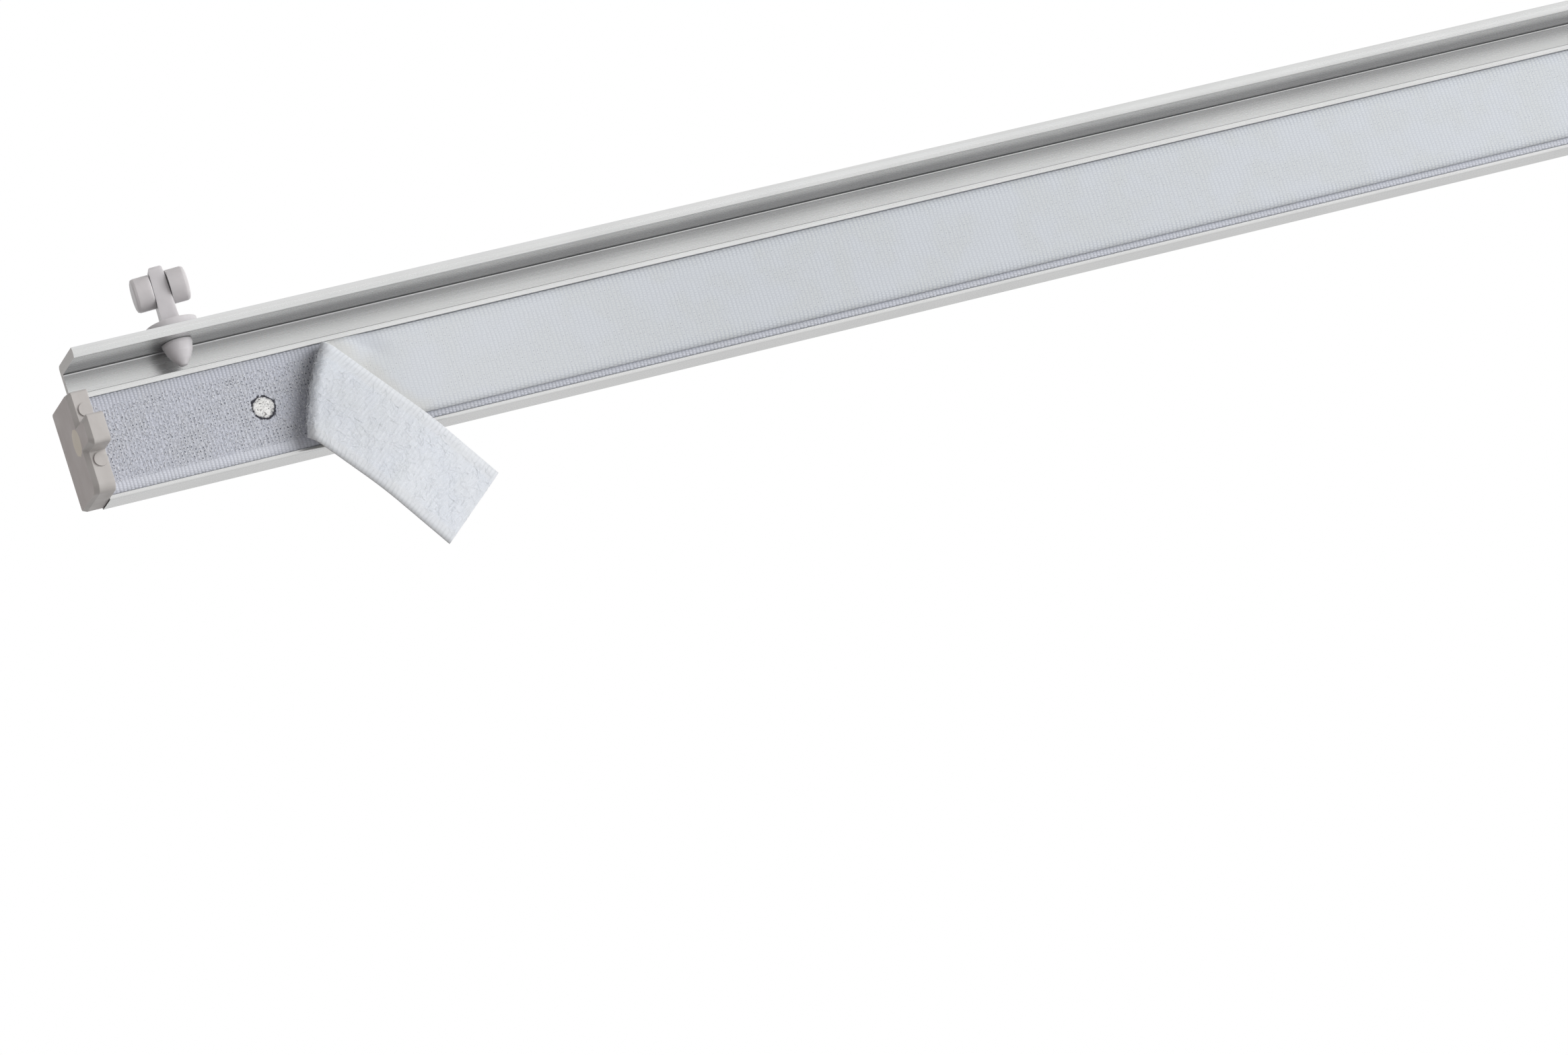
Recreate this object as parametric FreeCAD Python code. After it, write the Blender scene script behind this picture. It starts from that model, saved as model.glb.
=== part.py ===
import FreeCAD, Part

import math
import os

Vector = FreeCAD.Vector
x_axis = Vector(1, 0, 0)
y_axis = Vector(0, 1, 0)
z_axis = Vector(0, 0, 1)
centre = Vector(0, 0, 0)
same_place = 1e-6

# A carrier rail for one sliding curtain panel. Two roller gliders hang it in a ceiling track, a hook tape
# in its front channel holds the panel's loop tape, and a moulded cap closes each sawn end.
# Frame: +X along the rail, +Y to its back, +Z up. The origin is at mid-length, at the height of the
# roller axles and halfway through the depth of the top flange. All sizes are in millimetres.

# Rail, one aluminium extrusion
rail_length = 600.0
flange_depth = 12.84
flange_thickness = 2.15
flange_nose_bulge = 0.35
back_wall_thickness = 1.5
back_corner_radius = 1.0
inside_corner_radius = 0.3
shelf_drop = 8.0
upper_lip_thickness = 1.2
lower_lip_thickness = 0.9
lip_edge_radius = 0.2
bottom_edge_radius = 0.45
box_depth = 7.14
channel_depth = 1.5
channel_floor_thickness = 1.0

# Hook tape, glued and riveted to the floor of the channel
hook_tape_width = 19.8
hook_tape_side_gap = 0.1
hook_tape_end_gap = 0.3
hook_base_thickness = 0.8
hook_height = 0.9
hook_row_width = 0.6
hook_row_count = 11
hook_selvage = 2.1

# Loop tape, pressed on the hooks and folded back at its left end
loop_tape_width = 18.3
loop_tape_top_gap = 0.5
loop_tape_thickness = 1.5
loop_tape_end_gap = 0.4
fold_place = 45.2
fold_tilt = 25.5
fold_gap = 1.4
tail_cut_place = 5.5
tail_bend_place = 27.0
tail_bend_radius = 40.0
tail_bend_angle = 12.5

# Rivets through the hook tape
rivet_place = 35.4
rivet_head_radius = 2.25
rivet_head_height = 0.85
rivet_rim_height = 0.35
rivet_crown_radius = 1.75
rivet_shank_radius = 1.2
rivet_tail_radius = 1.9
rivet_tail_height = 1.6
rivet_clearance = 0.05

# End caps
cap_thickness = 4.2
cap_front_reach = 1.4
cap_top_drop = 9.0
cap_bottom_rise = 0.3
cap_back_corner_radius = 0.6
cap_top_corner_radius = 0.95
cap_bottom_corner_radius = 2.0
cap_root_radius = 0.35
cap_front_bevel = 0.9
cap_side_bevel = 0.3
catch_reach = 6.2
catch_height = 6.15
catch_drop = 15.55
catch_corner_radius = 0.95
boss_radius = 1.4
boss_height = 0.35
boss_inset = 1.4
upper_boss_drop = 13.2
lower_boss_drop = 23.5
pocket_radius = 3.0
pocket_depth_place = 1.6
pocket_drop = 18.6
pocket_skin = 0.9
tongue_length = 14.0
tongue_clearance = 0.1
tongue_lead_in = 1.0

# Gliders
glider_place = 22.6
glider_swivel = -10.0
glider_play = 0.1
glider_disc_radius = 5.2
glider_disc_thickness = 1.5
track_gap = 3.9
stem_top_thickness = 2.8
stem_foot_thickness = 3.6
stem_depth = 5.0
stem_top_rise = 4.3
stem_top_radius = 0.75
neck_radius = 2.5
neck_clearance = 0.08
barb_radius = 3.05
barb_rim = 0.7
barb_length = 5.1
barb_bulge = 0.35
barb_belly_steps = 3
barb_tip_radius = 0.8
barb_tip_height = 0.27
barb_half_flats = 2.8

# Rollers and their axles
roller_radius = 3.45
roller_length = 3.7
roller_side_gap = 0.1
roller_rim_radius = 0.65
roller_rim_steps = 2
axle_radius = 0.8
axle_fit = 0.02
axle_running_fit = 0.06
axle_bead_radius = 1.0
axle_bead_length = 0.5
axle_end_cover = 0.9
bead_side_gap = 0.1

# Heights and depths that follow from the sizes above
roller_axis_height = glider_play + glider_disc_thickness + track_gap + roller_radius
rail_top = -roller_axis_height
channel_top_drop = shelf_drop + upper_lip_thickness
channel_bottom_drop = channel_top_drop + hook_tape_width + 2 * hook_tape_side_gap
rail_height = channel_bottom_drop + lower_lip_thickness
wall_front_depth = flange_depth - back_wall_thickness
lip_front_depth = flange_depth - box_depth
channel_floor_depth = lip_front_depth + channel_depth
chamber_front_depth = channel_floor_depth + channel_floor_thickness
hook_base_front_depth = channel_floor_depth - hook_base_thickness
hook_top_depth = hook_base_front_depth - hook_height
tape_middle_drop = (channel_top_drop + channel_bottom_drop) / 2
half_length = rail_length / 2
track_gap_floor = rail_top + glider_play + glider_disc_thickness
stem_taper = (stem_foot_thickness - stem_top_thickness) / (stem_top_rise - track_gap_floor)
stem_thickness_at_rollers = stem_top_thickness + stem_taper * (stem_top_rise + roller_radius)
roller_inner_face = stem_thickness_at_rollers / 2 + roller_side_gap
roller_outer_face = roller_inner_face + roller_length
axle_half_length = roller_outer_face - axle_end_cover


def point(x, depth, drop):
    """A point x from mid-length, depth behind the flange's front plane and drop below the rail's top."""
    return Vector(x, depth - flange_depth / 2, rail_top - drop)


def rounded_edges(corners):
    """Straight edges through corners of (point, radius), with a tangent arc where the radius isn't zero."""
    edges = []
    start = corners[0][0]
    for index in range(1, len(corners) - 1):
        corner, radius = corners[index]
        if radius == 0:
            edges.append(Part.makeLine(start, corner))
            start = corner
            continue
        back = (corners[index - 1][0] - corner).normalize()
        ahead = (corners[index + 1][0] - corner).normalize()
        half_angle = back.getAngle(ahead) / 2
        reach = radius / math.tan(half_angle)
        middle = (back + ahead).normalize() * (radius / math.sin(half_angle) - radius)
        arc_start = corner + back * reach
        arc_end = corner + ahead * reach
        edges.append(Part.makeLine(start, arc_start))
        edges.append(Part.Arc(arc_start, corner + middle, arc_end).toShape())
        start = arc_end
    edges.append(Part.makeLine(start, corners[-1][0]))
    return edges


def rounded_face(corners):
    """A flat face with rounded corners. The outline starts and ends halfway along its first side."""
    middle = (corners[0][0] + corners[-1][0]) / 2
    return Part.Face(Part.Wire(rounded_edges([(middle, 0)] + corners + [(middle, 0)])))


def turned(profile, base, axis, reference):
    """A solid of revolution. Profile points are (radius, distance along the axis from the base)."""
    outline = [base + reference * radius + axis * distance for radius, distance in profile]
    face = Part.Face(Part.makePolygon(outline + outline[:1]))
    return face.revolve(base, axis, 360)


def mirrored_left_to_right(shape):
    return shape.mirror(centre, x_axis)


def edges_at(shape, direction, distance):
    """The edges whose ends lie in the plane at this distance along the direction."""
    return [edge for edge in shape.Edges
            if all(abs(vertex.Point.dot(direction) - distance) < same_place for vertex in edge.Vertexes)]


# Rail

def rail_section():
    """The extrusion's section at its left end: flange and back wall in an L, with the tape box below."""
    def corner(depth, drop, radius=0.0):
        return point(-half_length, depth, drop), radius

    nose_top = corner(flange_nose_bulge, 0)
    nose_bottom = corner(flange_nose_bulge, flange_thickness)
    outside = rounded_edges([
        nose_bottom,
        corner(wall_front_depth, flange_thickness, inside_corner_radius),
        corner(wall_front_depth, shelf_drop, inside_corner_radius),
        corner(lip_front_depth, shelf_drop, lip_edge_radius),
        corner(lip_front_depth, channel_top_drop, lip_edge_radius),
        corner(channel_floor_depth, channel_top_drop),
        corner(channel_floor_depth, channel_bottom_drop),
        corner(lip_front_depth, channel_bottom_drop, lip_edge_radius),
        corner(lip_front_depth, rail_height, bottom_edge_radius),
        corner(flange_depth, rail_height, bottom_edge_radius),
        corner(flange_depth, 0, back_corner_radius),
        nose_top,
    ])
    nose_front = point(-half_length, 0, flange_thickness / 2)
    outside.append(Part.Arc(nose_top[0], nose_front, nose_bottom[0]).toShape())
    chamber = rounded_face([
        corner(chamber_front_depth, channel_top_drop, inside_corner_radius),
        corner(wall_front_depth, channel_top_drop, inside_corner_radius),
        corner(wall_front_depth, channel_bottom_drop, inside_corner_radius),
        corner(chamber_front_depth, channel_bottom_drop, inside_corner_radius),
    ])
    return Part.Face(Part.Wire(outside)).cut(chamber)


def glider_hole(x):
    """The round hole punched in the top flange, in which a glider's neck turns."""
    base = point(x, flange_depth / 2, 2 * flange_thickness)
    return Part.makeCylinder(neck_radius + neck_clearance, 3 * flange_thickness, base, z_axis)


def rivet_hole(x):
    """The hole for a rivet's shank, through the hook tape and the floor of the channel."""
    base = point(x, lip_front_depth, tape_middle_drop)
    length = chamber_front_depth - lip_front_depth + rivet_tail_height
    return Part.makeCylinder(rivet_shank_radius + rivet_clearance, length, base, y_axis)


def make_rail():
    rail = rail_section().Faces[0].extrude(Vector(rail_length, 0, 0))
    for side in (-1, 1):
        rail = rail.cut(glider_hole(side * (half_length - glider_place)))
        rail = rail.cut(rivet_hole(side * (half_length - rivet_place)))
    return rail


# Tapes

def make_hook_tape():
    """The woven base with its rows of hooks as ridges, between two plain selvages."""
    left = -half_length + hook_tape_end_gap
    top = tape_middle_drop - hook_tape_width / 2
    bottom = tape_middle_drop + hook_tape_width / 2
    row_pitch = (hook_tape_width - 2 * hook_selvage - hook_row_width) / (hook_row_count - 1)
    outline = [point(left, channel_floor_depth, top), point(left, hook_base_front_depth, top)]
    for row in range(hook_row_count):
        row_top = top + hook_selvage + row * row_pitch
        row_bottom = row_top + hook_row_width
        outline.append(point(left, hook_base_front_depth, row_top))
        outline.append(point(left, hook_top_depth, row_top))
        outline.append(point(left, hook_top_depth, row_bottom))
        outline.append(point(left, hook_base_front_depth, row_bottom))
    outline.append(point(left, hook_base_front_depth, bottom))
    outline.append(point(left, channel_floor_depth, bottom))
    face = Part.Face(Part.makePolygon(outline + outline[:1]))
    tape = face.extrude(Vector(rail_length - 2 * hook_tape_end_gap, 0, 0))
    for side in (-1, 1):
        x = side * (half_length - rivet_place)
        head_room = Part.makeCylinder(rivet_head_radius + rivet_clearance, hook_height,
                                      point(x, hook_top_depth, tape_middle_drop), y_axis)
        tape = tape.cut(head_room).cut(rivet_hole(x))
    return tape


loop_top_drop = channel_top_drop + loop_tape_top_gap
loop_bottom_drop = loop_top_drop + loop_tape_width
loop_middle_drop = (loop_top_drop + loop_bottom_drop) / 2
loop_front_depth = hook_top_depth - loop_tape_thickness
tail_front_depth = loop_front_depth - fold_gap - loop_tape_thickness
fold_radius = loop_tape_thickness + fold_gap / 2


def place_on_fold_line(drop, offset):
    """The x at this drop of the line that runs beside the fold line, offset to its right."""
    tilt = math.radians(fold_tilt)
    return (-half_length + fold_place + (loop_middle_drop - drop) * math.tan(tilt)
            + offset / math.cos(tilt))


def strip(top, bottom, end, offset, front_depth, thickness):
    """A flat stretch of tape from a line beside the fold line to a square end."""
    outline = [
        point(place_on_fold_line(top, offset), front_depth, top),
        point(place_on_fold_line(bottom, offset), front_depth, bottom),
        point(end, front_depth, bottom),
        point(end, front_depth, top),
    ]
    face = Part.Face(Part.makePolygon(outline + outline[:1]))
    return face.extrude(Vector(0, thickness, 0))


def across_fold_line(shape):
    """The mirror image across the fold line, which is where folded tape goes."""
    tilt = math.radians(fold_tilt)
    on_line = point(-half_length + fold_place, 0, loop_middle_drop)
    return shape.mirror(on_line, Vector(math.cos(tilt), 0, -math.sin(tilt)))


def fold_bend():
    """Half a tube along the fold line, in two halves cut to the edges of the stretches that they join."""
    tilt = math.radians(fold_tilt)
    along = Vector(math.sin(tilt), 0, math.cos(tilt))
    inward = Vector(math.cos(tilt), 0, -math.sin(tilt))
    middle_depth = tail_front_depth + fold_radius
    middle = point(-half_length + fold_place, middle_depth, loop_middle_drop) + inward * fold_radius
    length = 2 * loop_tape_width
    foot = middle - along * (length / 2)
    tube = Part.makeCylinder(fold_radius, length, foot, along)
    tube = tube.cut(Part.makeCylinder(fold_gap / 2, length, foot, along))
    behind = strip(loop_top_drop, loop_bottom_drop, half_length, 0, middle_depth, fold_radius)
    beyond = strip(loop_top_drop, loop_bottom_drop, half_length, fold_radius, middle_depth, fold_radius)
    back_half = behind.cut(beyond)
    step_forward = Vector(0, -fold_radius, 0)
    ahead = strip(loop_top_drop, loop_bottom_drop, -half_length, 0, middle_depth, fold_radius)
    past = strip(loop_top_drop, loop_bottom_drop, -half_length, -fold_radius, middle_depth, fold_radius)
    front_half = across_fold_line(ahead.cut(past)).translated(step_forward)
    return tube.common(back_half), tube.common(front_half)


def unfolded_tail():
    """The free tail before folding, in front of the main stretch. Its end curves back from a bend line."""
    angle = math.radians(tail_bend_angle)
    bend_x = -half_length + tail_bend_place
    straight_end = tail_bend_place - tail_cut_place - tail_bend_radius * angle
    bottom = loop_bottom_drop
    bend_centre = point(bend_x, tail_front_depth + tail_bend_radius, bottom)

    def on_bend(radius, turn):
        return bend_centre + Vector(-radius * math.sin(turn), -radius * math.cos(turn), 0)

    front = tail_bend_radius
    back = tail_bend_radius - loop_tape_thickness
    ahead = Vector(-math.cos(angle), math.sin(angle), 0) * straight_end
    root_front = point(half_length, tail_front_depth, bottom)
    root_back = point(half_length, tail_front_depth + loop_tape_thickness, bottom)
    outline = Part.Wire([
        Part.makeLine(root_front, on_bend(front, 0)),
        Part.Arc(on_bend(front, 0), on_bend(front, angle / 2), on_bend(front, angle)).toShape(),
        Part.makeLine(on_bend(front, angle), on_bend(front, angle) + ahead),
        Part.makeLine(on_bend(front, angle) + ahead, on_bend(back, angle) + ahead),
        Part.makeLine(on_bend(back, angle) + ahead, on_bend(back, angle)),
        Part.Arc(on_bend(back, angle), on_bend(back, angle / 2), on_bend(back, 0)).toShape(),
        Part.makeLine(on_bend(back, 0), root_back),
        Part.makeLine(root_back, root_front),
    ])
    tail = Part.Face(outline).extrude(Vector(0, 0, loop_tape_width))
    return tail.cut(strip(loop_top_drop, loop_bottom_drop, 2 * half_length, -fold_radius,
                          tail_front_depth, loop_tape_thickness))


def make_loop_tape():
    """The tape on the hooks, its fold, and its free tail hanging down to the right in front."""
    main = strip(loop_top_drop, loop_bottom_drop, half_length - loop_tape_end_gap,
                 fold_radius, loop_front_depth, loop_tape_thickness)
    tail = across_fold_line(unfolded_tail())
    back_half, front_half = fold_bend()
    return main.fuse([back_half, front_half, tail]).removeSplitter()


def make_rivet(x):
    """A blind rivet: crowned head on the hook tape, shank through the floor, swelled tail in the chamber."""
    seat = hook_base_front_depth
    tail_start = chamber_front_depth - seat
    profile = [
        (0, -rivet_head_height),
        (rivet_crown_radius, -rivet_head_height),
        (rivet_head_radius, -rivet_rim_height),
        (rivet_head_radius, 0),
        (rivet_shank_radius, 0),
        (rivet_shank_radius, tail_start),
        (rivet_tail_radius, tail_start),
        (rivet_tail_radius, tail_start + rivet_tail_height),
        (0, tail_start + rivet_tail_height),
    ]
    return turned(profile, point(x, seat, tape_middle_drop), y_axis, z_axis)


# End caps, made at the left end and mirrored for the right

def cap_outline(x, front_inset, side_inset):
    """The cap seen from the end: a block over the box, with the catch standing out of its front.
    The front and the catch are set in by one amount, and the other sides by another."""
    def corner(depth, drop, radius):
        return point(x, depth, drop), radius

    front = -cap_front_reach + front_inset
    catch_front = front - catch_reach
    catch_top = catch_drop + front_inset
    catch_bottom = catch_drop + catch_height - front_inset
    top = cap_top_drop + side_inset
    bottom = rail_height - cap_bottom_rise - side_inset
    back = flange_depth - side_inset
    return rounded_face([
        corner(back, top, cap_back_corner_radius),
        corner(front, top, cap_top_corner_radius),
        corner(front, catch_top, cap_root_radius),
        corner(catch_front, catch_top, catch_corner_radius),
        corner(catch_front, catch_bottom, catch_corner_radius),
        corner(front, catch_bottom, cap_root_radius),
        corner(front, bottom, cap_bottom_corner_radius),
        corner(back, bottom, cap_back_corner_radius),
    ])


def cap_block():
    """The cap's body, flat against the rail's sawn end. Its outer face is narrower, most of all at the front."""
    outer = -half_length - cap_thickness
    shoulder = outer + cap_front_bevel
    outer_wires = [cap_outline(outer, cap_front_bevel, cap_side_bevel).OuterWire,
                   cap_outline(shoulder, 0, 0).OuterWire]
    inner_part = cap_outline(shoulder, 0, 0).extrude(x_axis * (cap_thickness - cap_front_bevel))
    return inner_part.fuse(Part.makeLoft(outer_wires, True, True)).removeSplitter()


def cap_bosses():
    """Two low round bosses on the front face, above and below the catch."""
    bosses = []
    for drop in (upper_boss_drop, lower_boss_drop):
        base = point(-half_length - boss_inset, -cap_front_reach - boss_height, drop)
        bosses.append(Part.makeCylinder(boss_radius, 2 * boss_height, base, y_axis))
    return bosses


def cap_pocket():
    """The blind round pocket behind the outer face. It leaves a thin skin that lets light through."""
    base = point(-half_length - cap_thickness + pocket_skin, pocket_depth_place, pocket_drop)
    return Part.makeCylinder(pocket_radius, cap_thickness, base, x_axis)


def tongue_outline(x, inset):
    """The tongue's section: the chamber's, less a clearance all round and a further inset."""
    def corner(depth, drop):
        return point(x, depth, drop), inside_corner_radius

    margin = tongue_clearance + inset
    front = chamber_front_depth + margin
    back = wall_front_depth - margin
    top = channel_top_drop + margin
    bottom = channel_bottom_drop - margin
    return rounded_face([corner(front, top), corner(back, top), corner(back, bottom), corner(front, bottom)])


def cap_tongue():
    """The tongue that plugs into the rail's hollow chamber, tapered at its tip as a lead-in."""
    root = -half_length - cap_thickness / 2
    tip = -half_length + tongue_length
    shoulder = tip - tongue_lead_in
    straight = tongue_outline(root, 0).extrude(Vector(shoulder - root, 0, 0))
    ends = [tongue_outline(shoulder, 0).OuterWire, tongue_outline(tip, tongue_lead_in / 2).OuterWire]
    return straight.fuse(Part.makeLoft(ends, True, True)).removeSplitter()


def make_left_cap():
    cap = cap_block().fuse(cap_bosses() + [cap_tongue()])
    return cap.cut(cap_pocket()).removeSplitter()


# Gliders, made about the origin with the roller axis along X

def glider_barb():
    """The ogive barb below the flange, with a flat on each side so that it can be pushed through."""
    top = rail_top - flange_thickness - glider_play
    bottom = top - barb_length
    rim = top - barb_rim
    belly_start = Vector(barb_radius, 0, rim)
    belly_end = Vector(barb_tip_radius, 0, bottom + barb_tip_height)
    outward = y_axis.cross(belly_start - belly_end).normalize()
    belly_middle = (belly_start + belly_end) / 2 + outward * barb_bulge
    belly = Part.Arc(belly_start, belly_middle, belly_end).toShape().discretize(barb_belly_steps + 1)
    profile = [(0, top), (barb_radius, top)] + [(place.x, place.z) for place in belly] + [(0, bottom)]
    barb = turned(profile, centre, z_axis, x_axis)
    for side in (-1, 1):
        flat = Part.makeBox(barb_radius, 2 * barb_radius, barb_length,
                            Vector(-barb_radius / 2, -barb_radius, rim - barb_length))
        barb = barb.cut(flat.translated(Vector(side * (barb_half_flats + barb_radius / 2), 0, 0)))
    return barb


def glider_stem():
    """The flat stem between the rollers, which widens to its foot and has a rounded top."""
    half = stem_top_thickness / 2
    half_foot = stem_foot_thickness / 2
    foot = track_gap_floor - glider_disc_thickness / 2
    front = -stem_depth / 2
    outline = [
        Vector(-half, front, stem_top_rise),
        Vector(half, front, stem_top_rise),
        Vector(half_foot, front, track_gap_floor),
        Vector(half_foot, front, foot),
        Vector(-half_foot, front, foot),
        Vector(-half_foot, front, track_gap_floor),
    ]
    stem = Part.Face(Part.makePolygon(outline + outline[:1])).extrude(y_axis * stem_depth)
    return stem.makeFillet(stem_top_radius, edges_at(stem, z_axis, stem_top_rise))


def make_glider_body():
    """Stem, disc, neck and barb in one moulding, bored for the axle."""
    disc_bottom = rail_top + glider_play
    disc = Part.makeCylinder(glider_disc_radius, glider_disc_thickness, Vector(0, 0, disc_bottom))
    neck_length = flange_thickness + 2 * glider_play
    neck = Part.makeCylinder(neck_radius, neck_length, Vector(0, 0, disc_bottom - neck_length))
    body = disc.fuse([neck, glider_barb(), glider_stem()]).removeSplitter()
    bore = Part.makeCylinder(axle_radius + axle_fit, 2 * stem_depth, x_axis * -stem_depth, x_axis)
    return body.cut(bore)


def make_axle():
    """The steel axle, with a bead at each end that keeps its roller on."""
    profile = [
        (0, -axle_half_length),
        (axle_bead_radius, -axle_half_length),
        (axle_bead_radius, -axle_half_length + axle_bead_length),
        (axle_radius, -axle_half_length + axle_bead_length),
        (axle_radius, axle_half_length - axle_bead_length),
        (axle_bead_radius, axle_half_length - axle_bead_length),
        (axle_bead_radius, axle_half_length),
        (0, axle_half_length),
    ]
    return turned(profile, centre, x_axis, z_axis)


def roller_rim():
    """The profile of the roller's rounded outer rim, from its tread to its end face."""
    rim = []
    for step in range(roller_rim_steps + 1):
        turn = math.radians(90 * step / roller_rim_steps)
        rim.append((roller_radius - roller_rim_radius * (1 - math.cos(turn)),
                    roller_outer_face - roller_rim_radius * (1 - math.sin(turn))))
    return rim


def make_roller():
    """The right-hand roller: a rounded rim and a blind bore with a groove for the axle's bead."""
    bore = axle_radius + axle_running_fit
    groove = axle_bead_radius + axle_running_fit
    groove_start = axle_half_length - axle_bead_length - bead_side_gap
    groove_end = axle_half_length + bead_side_gap
    profile = [
        (bore, roller_inner_face),
        (roller_radius, roller_inner_face),
    ] + roller_rim() + [
        (0, roller_outer_face),
        (0, groove_end),
        (groove, groove_end),
        (groove, groove_start),
        (bore, groove_start),
    ]
    return turned(profile, centre, x_axis, z_axis)


def hung_at(shape, x):
    """A glider's piece, turned to the angle at which the glider stands and moved to its hole."""
    turned_shape = shape.copy()
    turned_shape.rotate(centre, z_axis, glider_swivel)
    return turned_shape.translated(x_axis * x)


def make_glider(name, side):
    """The four pieces of the glider at one end of the rail: side is -1 for the left and 1 for the right."""
    x = side * (half_length - glider_place)
    towards_end = make_roller()
    away_from_end = mirrored_left_to_right(towards_end)
    if side < 0:
        towards_end, away_from_end = away_from_end, towards_end
    return {
        "glider_body_" + name: hung_at(make_glider_body(), x),
        "axle_" + name: hung_at(make_axle(), x),
        "roller_" + name + "_outboard": hung_at(towards_end, x),
        "roller_" + name + "_inboard": hung_at(away_from_end, x),
    }


def make_pieces():
    left_cap = make_left_cap()
    pieces = {
        "rail": make_rail(),
        "hook_tape": make_hook_tape(),
        "loop_tape": make_loop_tape(),
        "tape_rivet_left": make_rivet(-half_length + rivet_place),
        "tape_rivet_right": make_rivet(half_length - rivet_place),
        "end_cap_left": left_cap,
        "end_cap_right": mirrored_left_to_right(left_cap),
    }
    pieces.update(make_glider("left", -1))
    pieces.update(make_glider("right", 1))
    return pieces


os.makedirs("parts", exist_ok=True)
for node, shape in make_pieces().items():
    shape.exportStep("parts/" + node + ".step")
    print(node, len(shape.Solids), round(shape.Volume, 2), shape.isValid())
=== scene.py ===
import bpy
import math
import random
from mathutils import Matrix, Vector, noise


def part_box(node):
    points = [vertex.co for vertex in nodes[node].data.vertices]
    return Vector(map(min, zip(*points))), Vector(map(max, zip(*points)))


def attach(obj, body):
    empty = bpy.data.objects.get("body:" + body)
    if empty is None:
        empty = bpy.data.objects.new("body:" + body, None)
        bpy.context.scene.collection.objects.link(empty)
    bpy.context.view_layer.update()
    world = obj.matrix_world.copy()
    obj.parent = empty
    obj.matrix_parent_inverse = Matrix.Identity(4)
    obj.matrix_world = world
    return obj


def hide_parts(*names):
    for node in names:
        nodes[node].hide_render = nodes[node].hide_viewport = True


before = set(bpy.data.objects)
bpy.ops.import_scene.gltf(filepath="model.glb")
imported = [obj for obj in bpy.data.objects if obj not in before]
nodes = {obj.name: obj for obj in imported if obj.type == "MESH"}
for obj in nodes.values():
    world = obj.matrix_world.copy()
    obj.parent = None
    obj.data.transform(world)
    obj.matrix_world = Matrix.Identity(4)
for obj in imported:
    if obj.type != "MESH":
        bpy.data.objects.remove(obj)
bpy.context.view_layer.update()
MM = 0.001

# Where the carrier's faces are, read from the frame, in millimetres.
# Depth is counted back from the flange's front plane, drop down from the rail's top.
rail_low, rail_high = [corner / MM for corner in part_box("rail")]
hook_low, hook_high = [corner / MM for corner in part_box("hook_tape")]
FRONT = rail_low.y
TOP = rail_high.z
LEFT = rail_low.x
RAIL_LENGTH = rail_high.x - rail_low.x
hook_top = TOP - hook_high.z
hook_bottom = TOP - hook_low.z
floor_depth = hook_high.y - FRONT
hook_tip_depth = hook_low.y - FRONT

# Rail and caps, in millimetres from here on
# Painted shade under the flange: its drop below the top, and the depths behind the front where it starts
# and is full
UNDER_SHADE_DROP = 2.5
UNDER_SHADE_FROM = 1.5
UNDER_SHADE_FULL = 7.0
# Painted shade on the cut ends: none above the first drop, full at the second
SAW_BRIGHT_DROP = 12.0
SAW_DARK_DROP = 22.0
POCKET_Y = FRONT + 1.6
POCKET_Z = TOP - 18.6
POCKET_RADIUS = 3.0

# Hook tape: it lies bare up to the loop tape, whose edge slants
WARP_PITCH = 0.5
HOOK_WIDTH = hook_bottom - hook_top
HOOK_START = 0.3
HOOK_END = RAIL_LENGTH - HOOK_START
HOOK_BASE = 0.8
HOOK_RIB = 0.77
HOOK_SELVAGE = 2.1
HOOK_SELVAGE_RAISED = 0.7
HOOK_FIELD_SUNK = 0.3
HOOK_ROWS = 14
BARE_UNTIL = 49.0
BARE_SLANT = 0.45
CROOK_RADIUS = 0.045
CROOK_PITCH = 0.8
CROOK_ROW_PITCH = 0.66
CROOK_LEVEL = 0.36
CROOK_FLATTENED = 0.55
hook_base_front = floor_depth - HOOK_BASE

# Rivet through the hook tape
RIVET_X = 35.4
RIVET_DROP = (hook_top + hook_bottom) / 2
RIVET_CLEARANCE = 2.75
RIVET_SIDES = 72

# Loop tape: pressed on the hooks, folded over forward along a slanting line, its free end slightly curled
LOOP_TOP = 9.7
LOOP_WIDTH = 18.3
LOOP_MIDDLE = LOOP_TOP + LOOP_WIDTH / 2
LOOP_START = 5.5
LOOP_END = RAIL_LENGTH - 0.4
LOOP_RIB = 0.88
LOOP_ROWS = 16
LOOP_SELVAGE = 1.7
RUN_DEPTH = 4.75
HALF_TAPE = 0.75
FACE_SUNK = 0.06
SELVAGE_SUNK = 0.09
FREE_THICKNESS = 0.45
THIN_FROM = 41.0
THIN_REACH = 8.0
FOLD_PLACE = 45.2
FOLD_TILT = math.radians(25.5)
FOLD_RADIUS = 1.45
FOLD_AXIS = 2.2
FOLD_BULGE = 1.1
FOLD_LIFT = 0.9
FOLD_LIFT_REACH = 7.5
FOLD_END = 56.0
CURL_PLACE = 27.0
CURL_RADIUS = 39.25
CURL_ANGLE = math.radians(12.5)
SHADE_START = 49.6
SHADE_SLANT = math.radians(39)
FACE_FIBRES = 600
FOLD_FIBRES = 240
FIBRE_RADIUS = 0.022
FIBRE_STEPS = 7


def place(x, depth, drop):
    """A point in metres: x from the rail's left end, depth behind the flange's front, drop from the top."""
    return Vector((LEFT + x, FRONT + depth, TOP - drop)) * MM


# Node helpers for the materials

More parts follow.
